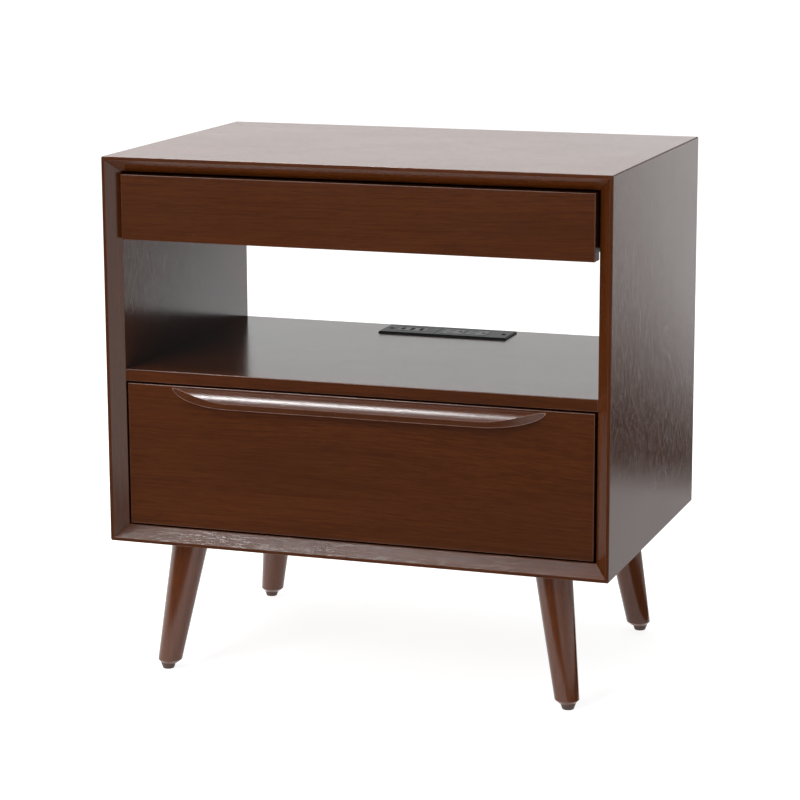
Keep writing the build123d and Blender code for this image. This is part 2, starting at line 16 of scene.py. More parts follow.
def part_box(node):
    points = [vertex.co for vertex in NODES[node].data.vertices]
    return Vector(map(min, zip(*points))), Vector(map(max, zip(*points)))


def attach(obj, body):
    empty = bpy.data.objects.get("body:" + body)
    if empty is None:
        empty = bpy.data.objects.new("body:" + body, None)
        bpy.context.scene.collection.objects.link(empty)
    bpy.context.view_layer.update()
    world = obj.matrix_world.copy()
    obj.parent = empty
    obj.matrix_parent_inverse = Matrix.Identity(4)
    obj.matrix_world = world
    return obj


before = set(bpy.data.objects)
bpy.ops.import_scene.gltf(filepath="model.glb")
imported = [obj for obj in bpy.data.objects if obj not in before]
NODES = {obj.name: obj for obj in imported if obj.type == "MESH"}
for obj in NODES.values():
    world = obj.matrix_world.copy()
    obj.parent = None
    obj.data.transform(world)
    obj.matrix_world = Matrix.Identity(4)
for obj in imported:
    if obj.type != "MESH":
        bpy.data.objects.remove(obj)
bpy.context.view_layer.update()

bl_info = {
    "name": "Nightstand with drawers",
    "version": (1, 0, 0),
    "blender": (4, 5, 0),
    "location": "3D View > Sidebar > Nightstand",
    "description": "Finishes a nightstand with drawers and a power outlet, and sets a plain studio round it",
    "category": "Object",
}

DRAWERS = ("top", "lower")
SIDES = ("left", "right")
CORNERS = ("front_left", "front_right", "back_left", "back_right")

# Cages of the slides: where the web starts and the flanges end, from the back of the slide, and how far the
# inner cage's flanges are in from the outer member's edge
OUTER_CAGE = (0.0022, 0.0072)
INNER_CAGE = (0.0051, 0.0086)
INNER_CAGE_DROP = 0.0069
CAGE_SHEET = 0.0005
CAGE_OVERRUN = 0.004

# Fittings in a charging port: a metal shell just inside the mouth, and four contacts on the tongue
SHELL_CLEARANCE = 0.0001
SHELL_CORNER = 0.0004
SHELL_TOP = -0.0003
CONTACT_PITCH = 0.0025
CONTACT_WIDTH = 0.001
CONTACT_FACES = (-0.00005, 0.00004)
CONTACT_RUN = (-0.0018, -0.0078)

# Dark sheets just over the floor that only reflections show: their X and Y limits, and how far the side sheet
# leans to the right for each metre of Y
SHEET_HEIGHT = 0.001
SHEET_GREY = 0.015
FRONT_FLAG = ((-6.0, 0.5), (-9.0, -0.5))
UNDER_FLAG = ((0.3, 0.62), (-0.5, 0.3))
SIDE_SHEET = ((0.07, 8.0), (0.3, 14.0))
SIDE_SLANT = 0.31


# Sizes and colours

def colour(name, description, default):
    """A colour setting."""
    return FloatVectorProperty(name=name, description=description, default=default, size=3, min=0, max=1,
                               subtype="COLOR")


def length(name, description, default):
    """A length setting in metres."""
    return FloatProperty(name=name, description=description, default=default, min=0, unit="LENGTH",
                         subtype="DISTANCE", precision=5)


def level(name, description, default):
    """A brightness setting."""
    return FloatProperty(name=name, description=description, default=default, min=0)


def share(name, description, default):
    """A setting from 0 to 1."""
    return FloatProperty(name=name, description=description, default=default, min=0, max=1, subtype="FACTOR")


class NightstandWood(bpy.types.PropertyGroup):
    """Colours and gloss of the wood"""
    ground: colour("Ground", "Stained wood between the grain lines", (0.0700, 0.0178, 0.0034))
    line: colour("Grain lines", "Darker fibres and pores of the stained wood", (0.0395, 0.0095, 0.0018))
    warm: colour("Warm streaks", "Broad redder streaks in the stained wood", (0.0960, 0.0226, 0.0040))
    edge: colour("Edges", "Stain rubbed thinner along the edges", (0.190, 0.052, 0.020))
    # Painted highlight: a pale colour along the rounded arrises of the fronts, shelf and pull, where they
    # would catch the light
    painted_arris_highlight: colour("Painted highlight lines", "Painted highlight along the rounded edges of the fronts, shelf and pull", (0.52, 0.31, 0.25))
    roughness: share("Roughness", "Roughness of the semi-gloss lacquer", 0.15)
    pull_roughness: share("Pull roughness", "Roughness of the lacquer on the pull, dulled by hands", 0.22)
    box_ground: colour("Box boards", "Black stain on the boards of the drawer boxes", (0.020, 0.017, 0.015))
    box_line: colour("Box grain", "Grain lines of the black boards", (0.010, 0.009, 0.008))
    dowel: colour("Dowels", "Bare hardwood of the dowels and splines", (0.56, 0.37, 0.20))


class NightstandMetal(bpy.types.PropertyGroup):
    """Colours of the metal parts and sizes of the slides' balls"""
    slide: colour("Slides", "Black coating on the drawer slides", (0.022, 0.022, 0.024))
    plate: colour("Leg plates", "Powder coating on the leg plates", (0.032, 0.032, 0.035))
    zinc: colour("Screws", "Bright zinc on screws and bolts", (0.62, 0.62, 0.60))
    ball: colour("Balls", "Polished steel of the slide balls", (0.80, 0.80, 0.82))
    gold: colour("Contacts", "Gilding on the port contacts", (0.83, 0.60, 0.24))
    ball_radius: length("Ball radius", "Radius of the balls in the slides", 0.00143)
    ball_pitch: length("Ball pitch", "Distance between two balls of a row", 0.0075)
    ball_count: IntProperty(name="Balls in a row", description="Balls in each row of a slide", default=13,
                            min=2)
    outer_race: length("Outer race", "Outer ball row, in from the outer member's edge", 0.0027)
    inner_race: length("Inner race", "Inner ball row, out from the inner member's edge", 0.0015)


class NightstandOutlet(bpy.types.PropertyGroup):
    """Colours and sizes of the outlet's plastic and of its port fittings"""
    plate: colour("Face plate", "Dark grey moulded plastic", (0.030, 0.033, 0.036))
    module: colour("Modules", "Black plastic of the ports and receptacles", (0.018, 0.019, 0.020))
    # The rim colour is a painted highlight along each module's raised outline
    rim: colour("Rim highlight", "Pale grey that paints the highlight along each module's outline", (0.20, 0.215, 0.22))
    glide: colour("Foot glides", "Brown nylon under the legs", (0.060, 0.028, 0.017))
    rim_width: length("Rim width", "Width of the line round a module", 0.0007)
    rim_height: length("Rim height", "How far the line stands up", 0.0003)
    corner: length("Module corner", "Corner radius of the modules", 0.003)
    port_pitch: length("Port pitch", "Distance between two charging ports", 0.012)
    port_size: FloatVectorProperty(name="Port mouth", description="Width and length of a port's mouth",
                                   default=(0.005, 0.013), size=2, subtype="XYZ", unit="LENGTH")
    port_depth: length("Port depth", "Depth of a charging port", 0.0085)
    shell_wall: length("Shell wall", "Thickness of the metal shell in a port", 0.0003)
    tongue_face: length("Tongue face", "Contact side of the tongue, from the middle of the port", 0.0001)


class NightstandStage(bpy.types.PropertyGroup):
    """Camera, floor, room and lights"""
    lens: FloatProperty(name="Lens", description="Focal length on a 36 mm sensor", default=0.12211,
                        unit="LENGTH", subtype="DISTANCE")
    place: FloatVectorProperty(name="Camera place", description="Where the camera stands",
                               default=(1.0274, -2.9891, 0.9654), size=3, subtype="XYZ", unit="LENGTH")
    turn: FloatProperty(name="Turn", description="Camera turned to the left of straight back",
                        default=radians(19.149), unit="ROTATION", subtype="ANGLE")
    tilt: FloatProperty(name="Tilt", description="Camera tilted down", default=radians(11.758),
                        unit="ROTATION", subtype="ANGLE")
    roll: FloatProperty(name="Roll", description="Camera rolled clockwise", default=radians(0.206),
                        unit="ROTATION", subtype="ANGLE")
    floor_reach: length("Floor reach", "Half the width of the floor", 40.0)
    back_level: level("Back light", "Brightness of the room behind", 0.98)
    top_level: level("Top light", "Brightness of the room above", 0.9)
    front_level: level("Front light", "Brightness of the room in front", 0.12)
    floor_grey: share("Floor grey", "How much light the floor reflects", 0.35)
    floor_glow: level("Floor glow", "Light that the pale floor gives off itself, to thin the shadows", 0.86)
    near_level: level("Near level", "Brightness of the near end of the sheet mirrored in the side", 0.54)
    far_level: level("Far level", "Brightness of the far end of that sheet", 0.37)
    box_power: FloatProperty(name="Overhead power", description="Power of the overhead soft light",
                             default=125.0, min=0, unit="POWER")
    fill_power: FloatProperty(name="Fill power", description="Power of the soft light in front",
                              default=80.0, min=0, unit="POWER")


# Mesh making: arrays of points on a grid of two parameters

def grid_faces(rows, columns, closed_rows, closed_columns):
    """Quads of a grid whose point (i, j) has number i * columns + j. Either direction may close on itself."""
    i, j = np.meshgrid(np.arange(rows if closed_rows else rows - 1),
                       np.arange(columns if closed_columns else columns - 1), indexing="ij")
    here, there = i * columns, (i + 1) % rows * columns
    next_j = (j + 1) % columns
    return np.stack([here + j, there + j, there + next_j, here + next_j], -1).reshape(-1, 4)


def carried(profile, path, across, upward, closed):
    """A closed profile carried along a path: point = path + across * profile x + upward * profile y.

    path, across and upward hold one row for each step. An open path gets a flat face at each end."""
    points = path[:, None] + profile[None, :, :1] * across[:, None] + profile[None, :, 1:] * upward[:, None]
    rows, columns = points.shape[:2]
    faces = grid_faces(rows, columns, closed, True).tolist()
    if not closed:
        faces.append(list(range(columns)))
        faces.append(list(range((rows - 1) * columns, rows * columns)))
    return points.reshape(-1, 3), faces


def spun(radii, heights, steps):
    """A profile of radii and heights turned about Z: x = r cos t, y = r sin t, z = h. Its ends are closed."""
    t = np.arange(steps) * 2 * pi / steps
    r = np.asarray(radii)[:, None]
    points = np.stack([r * np.cos(t), r * np.sin(t), np.asarray(heights)[:, None] + 0 * t], -1)
    faces = grid_faces(len(radii), steps, False, True).tolist()
    faces.append(list(range(steps)))
    faces.append(list(range((len(radii) - 1) * steps, len(radii) * steps)))
    return points.reshape(-1, 3), faces


def rounded_rectangle(half_x, half_y, corner, steps=6):
    """Points round a rectangle with round corners, and the outward directions at them.

    Each corner is an arc of the corner radius about a centre set in from both sides by that radius."""
    quarter = np.linspace(0, pi / 2, steps)
    turns = (quarter[None, :] + np.arange(4)[:, None] * pi / 2).reshape(-1)
    outward = np.stack([np.cos(turns), np.sin(turns), 0 * turns], -1)
    signs = np.array([[1, 1], [-1, 1], [-1, -1], [1, -1]]).repeat(steps, axis=0)
    centres = signs * np.array([half_x - corner, half_y - corner])
    points = np.concatenate([centres, np.zeros((4 * steps, 1))], axis=1) + corner * outward
    return points, outward


def copies(shape, places):
    """The same shape moved to each of the places, as one list of points and faces."""
    points, faces = shape
    places = np.asarray(places, float)
    moved = (points[None] + places[:, None]).reshape(-1, 3)
    shifted = [[v + k * len(points) for v in face] for k in range(len(places)) for face in faces]
    return moved, shifted


def merged(shapes):
    """Several lists of points and faces as one."""
    points, faces, start = [], [], 0
    for p, f in shapes:
        points.append(p)
        faces += [[v + start for v in face] for face in f]
        start += len(p)
    return np.concatenate(points), faces


def piece(name, shape, material, body):
    """A new object with its place in its mesh, faces outwards, riding on a body."""
    points, faces = shape
    mesh = bpy.data.meshes.new(name)
    mesh.from_pydata(np.asarray(points).tolist(), [], faces)
    mesh.validate()
    sheet = bmesh.new()
    sheet.from_mesh(mesh)
    bmesh.ops.recalc_face_normals(sheet, faces=sheet.faces)
    sheet.to_mesh(mesh)
    sheet.free()
    mesh.shade_smooth()
    mesh.set_sharp_from_angle(angle=radians(35))
    mesh.materials.append(material)
    made = bpy.data.objects.new(name, mesh)
    bpy.context.scene.collection.objects.link(made)
    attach(made, body)
    return made


def finish_nodes(names, material):
    """Put a material on the parts of these names."""
    for name in names:
        for place in NODES[name].material_slots:
            place.material = material


def middle_of(name):
    """Middle, lowest and highest corner of a part, as arrays."""
    low, high = (np.array(corner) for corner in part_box(name))
    return (low + high) / 2, low, high


# Node making

def add(tree, kind, inputs=None, **settings):
    """A node with its settings. An input is given a value or linked from a socket."""
    made = tree.nodes.new(kind)
    for name, value in settings.items():
        setattr(made, name, value)
    for name, value in (inputs or {}).items():
        if isinstance(value, bpy.types.NodeSocket):
            tree.links.new(value, made.inputs[name])
        else:
            made.inputs[name].default_value = value
    return made


def blended(tree, amount, first, second, blend="MIX"):
    """Two colours mixed by an amount."""
    made = add(tree, "ShaderNodeMix", {0: amount, 6: first, 7: second}, data_type="RGBA", blend_type=blend)
    return made.outputs[2]


def worked(tree, operation, first, second=0.0, third=0.0, clamp=False):
    """The result of a sum on two or three numbers."""
    made = add(tree, "ShaderNodeMath", {0: first, 1: second, 2: third}, operation=operation, use_clamp=clamp)
    return made.outputs[0]


def spread(tree, value, low, high, to_low=0.0, to_high=1.0):
    """The value with low..high taken to to_low..to_high, held at the ends."""
    made = add(tree, "ShaderNodeMapRange", {"Value": value, "From Min": low, "From Max": high,
                                            "To Min": to_low, "To Max": to_high})
    return made.outputs[0]


def grey_of(tree, value):
    """A grey of that value."""
    return add(tree, "ShaderNodeCombineColor", {"Red": value, "Green": value, "Blue": value}).outputs[0]


def stretched_noise(tree, vector, scale, detail=2.0, roughness=0.5):
    """Noise with its own number of features to the metre along X, Y and Z."""
    mapped = add(tree, "ShaderNodeMapping", {"Vector": vector, "Scale": scale})
    made = add(tree, "ShaderNodeTexNoise", {"Vector": mapped.outputs[0], "Scale": 1.0, "Detail": detail,
                                            "Roughness": roughness})
    return made.outputs[0]


def even_noise(tree, vector, scale, detail=2.0, roughness=0.5):
    """Noise with the same number of features to the metre all ways."""
    return stretched_noise(tree, vector, (scale, scale, scale), detail, roughness)


def group_of(name, inputs, outputs):
    """An empty node group with named sockets, and its input and output nodes."""
    tree = bpy.data.node_groups.new(name, "ShaderNodeTree")
    for socket, kind, default in inputs:
        made = tree.interface.new_socket(name=socket, in_out="INPUT", socket_type="NodeSocket" + kind)
        if default is not None:
            made.default_value = default
    for socket, kind in outputs:
        tree.interface.new_socket(name=socket, in_out="OUTPUT", socket_type="NodeSocket" + kind)
    return tree, tree.nodes.new("NodeGroupInput").outputs, tree.nodes.new("NodeGroupOutput").inputs


def placed(tree, name, inputs):
    """A node group put into a material, with its own values."""
    made = tree.nodes.new("ShaderNodeGroup")
    made.node_tree = bpy.data.node_groups[name]
    for socket, value in inputs.items():
        if isinstance(value, bpy.types.NodeSocket):
            tree.links.new(value, made.inputs[socket])
        else:
            made.inputs[socket].default_value = value
    return made.outputs


def make_grain():
    """Straight grain along X: broad tone, long fibres, growth lines and short open pores.

    Each is a noise drawn out along X, and a slow noise bends them all a little."""
    tree, given, out = group_of("Wood grain", [
        ("Vector", "Vector", None), ("Ground", "Color", (0.1, 0.03, 0.01, 1)),
        ("Line", "Color", (0.05, 0.01, 0.005, 1)), ("Warm", "Color", (0.15, 0.04, 0.01, 1)),
        ("Contrast", "Float", 1.0)],
        [("Color", "Color"), ("Height", "Float"), ("Sheen", "Float")])
    at = given["Vector"]
    bend = worked(tree, "MULTIPLY", stretched_noise(tree, at, (1.6, 4.0, 4.0), detail=1.0), 0.045)
    lift = add(tree, "ShaderNodeCombineXYZ", {"Y": bend, "Z": bend})
    bent = add(tree, "ShaderNodeVectorMath", {0: at, 1: lift.outputs[0]}, operation="ADD").outputs[0]
    broad = stretched_noise(tree, bent, (1.3, 16.0, 16.0), detail=3.0, roughness=0.55)
    mottle = stretched_noise(tree, at, (9.0, 22.0, 22.0), detail=2.0)
    long_fibre = stretched_noise(tree, bent, (5.0, 330.0, 330.0), detail=3.0, roughness=0.62)
    short_fibre = stretched_noise(tree, bent, (38.0, 640.0, 640.0), detail=2.0, roughness=0.6)
    rings = worked(tree, "SINE", worked(tree, "MULTIPLY", broad, 60.0))
    pores = spread(tree, stretched_noise(tree, bent, (85.0, 1500.0, 1500.0), detail=1.0), 0.60, 0.72)
    fibre = worked(tree, "MULTIPLY_ADD", short_fibre, 0.5, worked(tree, "MULTIPLY", long_fibre, 0.5))
    tone = worked(tree, "MULTIPLY_ADD", rings, 0.012, fibre)
    sharp = spread(tree, tone, 0.34, 0.64)
    dark = worked(tree, "MULTIPLY", worked(tree, "SUBTRACT", 1.0, sharp), given["Contrast"], clamp=True)
    warm = worked(tree, "MULTIPLY", spread(tree, broad, 0.42, 0.68), 0.75)
    body = blended(tree, warm, given["Ground"], given["Warm"])
    lined = blended(tree, worked(tree, "MULTIPLY", dark, 0.8), body, given["Line"])
    clouds = worked(tree, "MULTIPLY", spread(tree, mottle, 0.35, 0.7), 0.14)
    cloudy = blended(tree, clouds, lined, given["Line"])
    open_pores = worked(tree, "MULTIPLY", pores, worked(tree, "MULTIPLY", given["Contrast"], 0.55))
    pored = blended(tree, open_pores, cloudy, given["Line"])
    tree.links.new(pored, out["Color"])
    raised = worked(tree, "MULTIPLY_ADD", fibre, 0.35, worked(tree, "MULTIPLY", pores, -0.8))
    tree.links.new(raised, out["Height"])
    tree.links.new(worked(tree, "MULTIPLY_ADD", pores, 0.5, mottle), out["Sheen"])


def make_edges():
    """Where two faces meet: the bent normal of a rounded corner against the plain one, broken up by noise."""
    tree, given, out = group_of("Edge wear and painted edge highlights", [
        ("Vector", "Vector", None), ("Color", "Color", (0.1, 0.03, 0.01, 1)),
        ("Edge", "Color", (0.2, 0.06, 0.03, 1)), ("Radius", "Float", 0.0011), ("Amount", "Float", 0.7)],
        [("Color", "Color")])
    # The edge colour is rubbed wear on the case, legs and coated metal, and a painted highlight on the
    # arrises of the fronts, shelf and pull
    rounded = add(tree, "ShaderNodeBevel", {"Radius": given["Radius"]}, samples=6)
    plain = add(tree, "ShaderNodeNewGeometry")
    facing = add(tree, "ShaderNodeVectorMath", {0: rounded.outputs[0], 1: plain.outputs["True Normal"]},
                 operation="DOT_PRODUCT").outputs["Value"]
    broken = spread(tree, even_noise(tree, given["Vector"], 60.0, detail=3.0), 0.25, 0.6, 0.45, 1.0)
    mask = worked(tree, "MULTIPLY", spread(tree, facing, 0.995, 0.86), broken)
    wear_and_edge_highlight = worked(tree, "MULTIPLY", mask, given["Amount"], clamp=True)
    tree.links.new(blended(tree, wear_and_edge_highlight, given["Color"], given["Edge"]), out["Color"])


def make_lacquer():
    """A sprayed coat: a slow ripple, fine orange peel, and faint dust that dulls it in places."""
    tree, given, out = group_of("Sprayed coat", [
        ("Vector", "Vector", None), ("Roughness", "Float", 0.25), ("Peel", "Float", 1.0),
        ("Dust", "Float", 0.08)],
        [("Roughness", "Float"), ("Height", "Float")])
    at = given["Vector"]
    ripple = even_noise(tree, at, 26.0, detail=1.0)
    peel = even_noise(tree, at, 420.0, detail=1.0)
    dust = spread(tree, even_noise(tree, at, 7.0, detail=5.0, roughness=0.7), 0.38, 0.72)
    specks = spread(tree, even_noise(tree, at, 950.0, detail=0.0), 0.74, 0.82)
    dulled = worked(tree, "MULTIPLY", worked(tree, "MULTIPLY_ADD", specks, 1.2, dust), given["Dust"])
    tree.links.new(worked(tree, "ADD", given["Roughness"], dulled, clamp=True), out["Roughness"])
    height = worked(tree, "MULTIPLY_ADD", ripple, 1.5, worked(tree, "MULTIPLY", peel, given["Peel"]))
    tree.links.new(height, out["Height"])


def make_brushing():
    """Fine parallel scratches along Y with dull smears, for drawn or rolled metal."""
    tree, given, out = group_of("Drawn metal", [
        ("Vector", "Vector", None), ("Color", "Color", (0.5, 0.5, 0.5, 1)), ("Roughness", "Float", 0.3)],
        [("Color", "Color"), ("Roughness", "Float"), ("Height", "Float")])
    at = given["Vector"]
    lines = stretched_noise(tree, at, (900.0, 14.0, 900.0), detail=2.0)
    smears = stretched_noise(tree, at, (45.0, 20.0, 45.0), detail=4.0, roughness=0.65)
    shade = grey_of(tree, spread(tree, smears, 0.3, 0.7, 0.78, 1.12))
    tree.links.new(blended(tree, 1.0, given["Color"], shade, "MULTIPLY"), out["Color"])
    rough = worked(tree, "MULTIPLY_ADD", smears, 0.22, worked(tree, "ADD", given["Roughness"], -0.1))
    tree.links.new(worked(tree, "MULTIPLY_ADD", lines, 0.08, rough), out["Roughness"])
    tree.links.new(lines, out["Height"])


def make_moulding():
    """Spark-eroded mould texture: small even bumps with a faint change of shade."""
    tree, given, out = group_of("Moulded plastic", [
        ("Vector", "Vector", None), ("Color", "Color", (0.03, 0.03, 0.03, 1)), ("Roughness", "Float", 0.45),
        ("Grain", "Float", 1400.0)],
        [("Color", "Color"), ("Roughness", "Float"), ("Height", "Float")])
    at = given["Vector"]
    scaled = add(tree, "ShaderNodeVectorMath", {0: at, "Scale": given["Grain"]}, operation="SCALE").outputs[0]
    bumps = add(tree, "ShaderNodeTexNoise", {"Vector": scaled, "Scale": 1.0, "Detail": 2.0}).outputs[0]
    flow = even_noise(tree, at, 55.0, detail=3.0)
    shade = worked(tree, "ADD", spread(tree, flow, 0.3, 0.7, 0.82, 1.15),
                   worked(tree, "MULTIPLY", worked(tree, "SUBTRACT", bumps, 0.5), 0.5))
    tree.links.new(blended(tree, 1.0, given["Color"], grey_of(tree, shade), "MULTIPLY"), out["Color"])
    tree.links.new(worked(tree, "MULTIPLY_ADD", flow, 0.15, given["Roughness"]), out["Roughness"])
    tree.links.new(bumps, out["Height"])


# Turns that bring the grain, which runs along X in its group, to each direction
GRAIN_TURNS = {"X": (0, 0, 0), "Y": (0, 0, -pi / 2), "Z": (0, pi / 2, 0)}


def new_material(name):
    """A material with its Principled shader, and the object's own coordinates."""
    material = bpy.data.materials.new(name)
    material.use_nodes = True
    tree = material.node_tree
    tree.nodes.clear()
    shader = tree.nodes.new("ShaderNodeBsdfPrincipled")
    output = tree.nodes.new("ShaderNodeOutputMaterial")
    tree.links.new(shader.outputs[0], output.inputs["Surface"])
    return material, tree, shader, tree.nodes.new("ShaderNodeTexCoord").outputs["Object"]


def opaque(shade):
    """A colour with full alpha."""
    return (*shade, 1.0)


def bumped(tree, shader, height, distance, before=None):
    """Bump the shader by a height, over an earlier bump if there is one."""
    inputs = {"Height": height, "Distance": distance, "Strength": 1.0}
    if before is not None:
        inputs["Normal"] = before
    made = add(tree, "ShaderNodeBump", inputs)
    tree.links.new(made.outputs[0], shader.inputs["Normal"])
    return made.outputs[0]


def wood(name, along, shift, colours, roughness, contrast=1.0, edge=None, pore_depth=0.00003):
    """Stained or bare wood under a sprayed coat, its grain along X, Y or Z."""
    material, tree, shader, at = new_material(name)
    turned = add(tree, "ShaderNodeMapping", {"Vector": at, "Rotation": GRAIN_TURNS[along], "Location": shift})
    ground, line, warm = (opaque(c) for c in colours)
    grain = placed(tree, "Wood grain", {"Vector": turned.outputs[0], "Ground": ground, "Line": line,
                                        "Warm": warm, "Contrast": contrast})
    shade = grain["Color"]
    if edge is not None:
        # On the fronts, shelf and pull the edge colour is a painted highlight along the arrises; on the other
        # boards it is rubbed stain
        wear_and_edge_highlight = placed(tree, "Edge wear and painted edge highlights", {"Vector": at, "Color": shade, "Edge": opaque(edge)})
        shade = wear_and_edge_highlight["Color"]
    coat = placed(tree, "Sprayed coat", {"Vector": at, "Roughness": roughness, "Peel": 0.5, "Dust": 0.025})
    rough = worked(tree, "MULTIPLY_ADD", grain["Sheen"], 0.03, coat["Roughness"])
    tree.links.new(shade, shader.inputs["Base Color"])
    tree.links.new(rough, shader.inputs["Roughness"])
    shader.inputs["IOR"].default_value = 1.5
    fine = bumped(tree, shader, grain["Height"], pore_depth)
    bumped(tree, shader, coat["Height"], 0.00002, before=fine)
    return material


def coated_metal(name, base, roughness, peel=1.0):
    """Painted or powder-coated steel with orange peel and worn edges."""
    material, tree, shader, at = new_material(name)
    coat = placed(tree, "Sprayed coat", {"Vector": at, "Roughness": roughness, "Peel": peel, "Dust": 0.14})
    bare = tuple(min(1.0, 4 * c + 0.02) for c in base)
    wear_and_edge_highlight = placed(tree, "Edge wear and painted edge highlights", {"Vector": at, "Color": opaque(base), "Edge": opaque(bare),
                                           "Radius": 0.0005, "Amount": 0.5})
    tree.links.new(wear_and_edge_highlight["Color"], shader.inputs["Base Color"])
    tree.links.new(coat["Roughness"], shader.inputs["Roughness"])
    bumped(tree, shader, coat["Height"], 0.00003)
    return material


def bare_metal(name, base, roughness):
    """Bright metal with drawing lines."""
    material, tree, shader, at = new_material(name)
    drawn = placed(tree, "Drawn metal", {"Vector": at, "Color": opaque(base), "Roughness": roughness})
    shader.inputs["Metallic"].default_value = 1.0
    tree.links.new(drawn["Color"], shader.inputs["Base Color"])
    tree.links.new(drawn["Roughness"], shader.inputs["Roughness"])
    bumped(tree, shader, drawn["Height"], 0.000008)
    return material


def plastic(name, base, roughness, grain=1400.0, depth=0.00003):
    """Moulded plastic with a fine mould texture."""
    material, tree, shader, at = new_material(name)
    moulded = placed(tree, "Moulded plastic", {"Vector": at, "Color": opaque(base), "Roughness": roughness,
                                               "Grain": grain})
    tree.links.new(moulded["Color"], shader.inputs["Base Color"])
    tree.links.new(moulded["Roughness"], shader.inputs["Roughness"])
    bumped(tree, shader, moulded["Height"], depth)
    return material


def stained(look):
    """The three colours of the stained wood."""
    return look.ground, look.line, look.warm


# Operators, one for each piece or group of like pieces

class NIGHTSTAND_OT_textures(bpy.types.Operator):
    """Build the shader groups that the finishes share"""
    bl_idname = "nightstand.textures"
    bl_label = "Shared textures"

    def execute(self, context):
        make_grain()
        make_edges()
        make_lacquer()
        make_brushing()
        make_moulding()
        return {"FINISHED"}


class NIGHTSTAND_OT_case(bpy.types.Operator):
    """Finish the case panels, the shelf, the back panel and the back rail in stained wood"""
    bl_idname = "nightstand.case"
    bl_label = "Case"

    def execute(self, context):
        look = context.scene.nightstand_wood
        colours = stained(look)
        boards = {"Top and bottom wood": (("top_panel", "bottom_panel"), "X", (0.0, 0.0, 0.0), look.edge),
                  "Side wood": (("left_side_panel", "right_side_panel"), "Z", (0.3, 0.7, 0.2), look.edge),
                  # The shelf's arrises take the painted highlight colour
                  "Shelf wood": (("shelf",), "X", (1.9, 0.4, 2.2), look.painted_arris_highlight),
                  "Back wood": (("lower_back_panel", "upper_back_rail"), "X", (3.1, 1.3, 0.6), look.edge)}
        for name, (parts, along, shift, edge) in boards.items():
            finish_nodes(parts, wood(name, along, shift, colours, look.roughness, edge=edge))
        hardwood = (look.dowel, [0.8 * c for c in look.dowel], look.dowel)
        finish_nodes(("mitre_splines", "case_dowels", "top_drawer_dowels", "lower_drawer_dowels"),
                     wood("Bare hardwood", "Y", (0.4, 0.1, 0.9), hardwood, roughness=0.55, contrast=0.5))
        return {"FINISHED"}


class NIGHTSTAND_OT_fronts(bpy.types.Operator):
    """Finish the two drawer fronts and the pull"""
    bl_idname = "nightstand.fronts"
    bl_label = "Drawer fronts and pull"

    def execute(self, context):
        look = context.scene.nightstand_wood
        colours = stained(look)
        pieces = {"Top drawer wood": ("top_drawer_front", (5.2, 0.6, 1.1), look.roughness),
                  "Lower drawer wood": ("lower_drawer_front", (7.7, 2.3, 3.4), look.roughness),
                  "Pull wood": ("drawer_pull", (9.1, 4.2, 0.3), look.pull_roughness)}
        for name, (part, shift, roughness) in pieces.items():
            # The fronts and the pull take the painted highlight colour on their arrises
            finish_nodes((part,), wood(name, "X", shift, colours, roughness, edge=look.painted_arris_highlight))
        return {"FINISHED"}


class NIGHTSTAND_OT_legs(bpy.types.Operator):
    """Finish the turned legs and their nylon foot glides"""
    bl_idname = "nightstand.legs"
    bl_label = "Legs and glides"

    def execute(self, context):
        look = context.scene.nightstand_wood
        lighter = [tuple(1.35 * c for c in shade) for shade in stained(look)]
        finish_nodes(["leg_" + c for c in CORNERS],
                     wood("Leg wood", "Z", (2.2, 5.1, 0.8), lighter, look.roughness, contrast=0.8,
                          edge=look.edge))
        finish_nodes(["foot_glide_" + c for c in CORNERS],
                     plastic("Brown nylon", context.scene.nightstand_outlet.glide, roughness=0.5))
        return {"FINISHED"}


class NIGHTSTAND_OT_boxes(bpy.types.Operator):
    """Finish the boards and bottoms of the drawer boxes in black stain"""
    bl_idname = "nightstand.boxes"
    bl_label = "Drawer boxes"

    def execute(self, context):
        look = context.scene.nightstand_wood
        colours = (look.box_ground, look.box_line, [1.3 * c for c in look.box_ground])
        across, along = (wood("Black boards " + name, axis, shift, colours, roughness=0.4, pore_depth=0.00004)
                         for name, axis, shift in (("across", "X", (1.1, 0.9, 0.1)),
                                                   ("along", "Y", (2.7, 0.2, 1.4))))
        for drawer in DRAWERS:
            finish_nodes([f"{drawer}_drawer_{board}" for board in ("inner_front", "back", "bottom")], across)
            finish_nodes([f"{drawer}_drawer_{side}_side" for side in SIDES], along)
        return {"FINISHED"}


def cage(back, inward, reach, half_height, y, z, run):
    """Bent strip that holds two rows of balls: a C outline in X and Z carried along Y.

    reach is where the strip's web starts and where its flanges end, measured from the back of the slide."""
    web, tip = reach
    web_inside = web + CAGE_SHEET
    inside = half_height - CAGE_SHEET
    profile = np.array([(web, -half_height), (tip, -half_height), (tip, -inside), (web_inside, -inside),
                        (web_inside, inside), (tip, inside), (tip, half_height), (web, half_height)])
    half_length = run / 2 + CAGE_OVERRUN
    ends = np.array([(back, y - half_length, z), (back, y + half_length, z)])
    across, upward = np.tile((1.0, 0.0, 0.0), (2, 1)), np.tile((0.0, 0.0, 1.0), (2, 1))
    return carried(profile * (inward, 1.0), ends, across, upward, closed=False)


